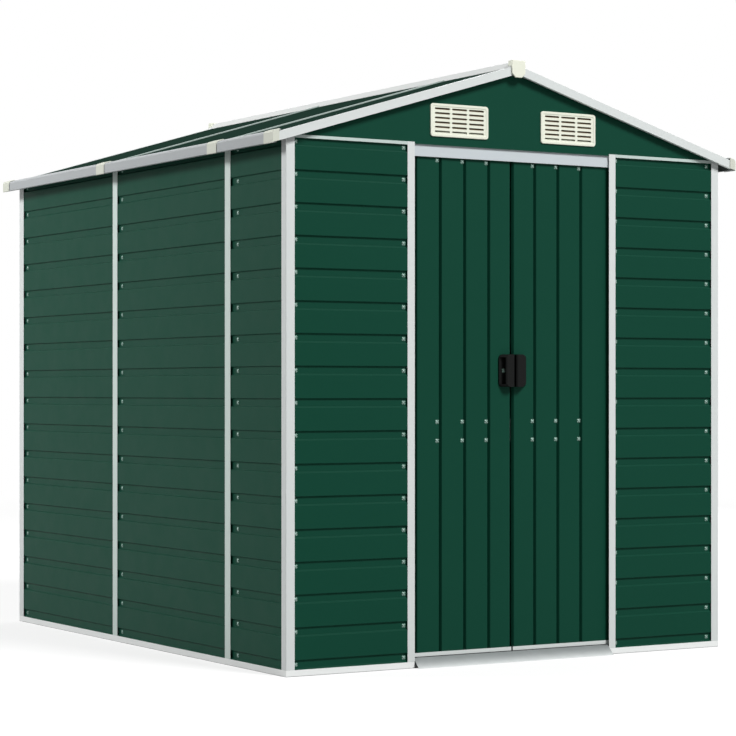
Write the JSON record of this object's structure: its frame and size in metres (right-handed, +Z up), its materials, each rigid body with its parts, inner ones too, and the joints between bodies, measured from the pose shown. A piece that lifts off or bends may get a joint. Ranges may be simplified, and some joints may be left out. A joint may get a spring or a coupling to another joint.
{
  "type": "metal storage shed",
  "caption": "Metal garden storage shed with boarded sheet walls, white trims, a low gable roof with vents, and a pair of sliding doors behind a low ramp.",
  "frame": {"origin": "on the ground, at the middle of the plan", "axes": "+Z up, +X to the right seen from the doors, -Y towards the doors"},
  "size_m": [1.8404, 2.1684, 1.9752],
  "materials": {
    "wall_green": "satin",
    "roof_green": "satin",
    "trim_white": "satin",
    "ivory_plastic": "satin",
    "black_plastic": "matte",
    "galvanised": "satin",
    "nylon": "matte"
  },
  "bodies": {
    "shed": {"front_base_rails": "trim_white", "side_base_rails": "trim_white", "back_base_rail": "trim_white", "door_ramp": "galvanised", "door_floor_track": "galvanised", "door_head_track": "galvanised", "door_header": "trim_white", "front_corner_posts": "trim_white", "back_corner_posts": "trim_white", "door_jambs": "trim_white", "wall_mullions": "trim_white", "front_left_panel": "wall_green", "front_right_panel": "wall_green", "left_front_panel": "wall_green", "left_middle_panel": "wall_green", "left_back_panel": "wall_green", "right_front_panel": "wall_green", "right_middle_panel": "wall_green", "right_back_panel": "wall_green", "back_left_panel": "wall_green", "back_right_panel": "wall_green", "front_top_rail": "trim_white", "back_top_rail": "trim_white", "side_top_rails": "trim_white", "front_gable": "wall_green", "back_gable": "wall_green", "gable_vents": "ivory_plastic", "left_roof_sheets": "roof_green", "right_roof_sheets": "roof_green", "roof_seam_strips": "trim_white", "bargeboards": "trim_white", "eave_trims": "trim_white", "ridge_cover": "trim_white", "ridge_beam": "galvanised", "roof_purlins": "galvanised", "ridge_end_caps": "ivory_plastic", "eave_caps": "ivory_plastic"},
    "left_door": {"left_door_panel": "wall_green", "left_door_rails": "trim_white", "left_door_handle": "black_plastic", "left_door_glides": "nylon"},
    "right_door": {"right_door_panel": "wall_green", "right_door_rails": "trim_white", "right_door_handle": "black_plastic", "right_door_glides": "nylon"}
  },
  "joints": [
    {"name": "left_door_slide", "type": "slide", "parent": "shed", "child": "left_door", "axis": [-1, 0, 0], "range_m": [0, 0.325]},
    {"name": "right_door_slide", "type": "slide", "parent": "shed", "child": "right_door", "axis": [1, 0, 0], "range_m": [0, 0.325]}
  ]
}
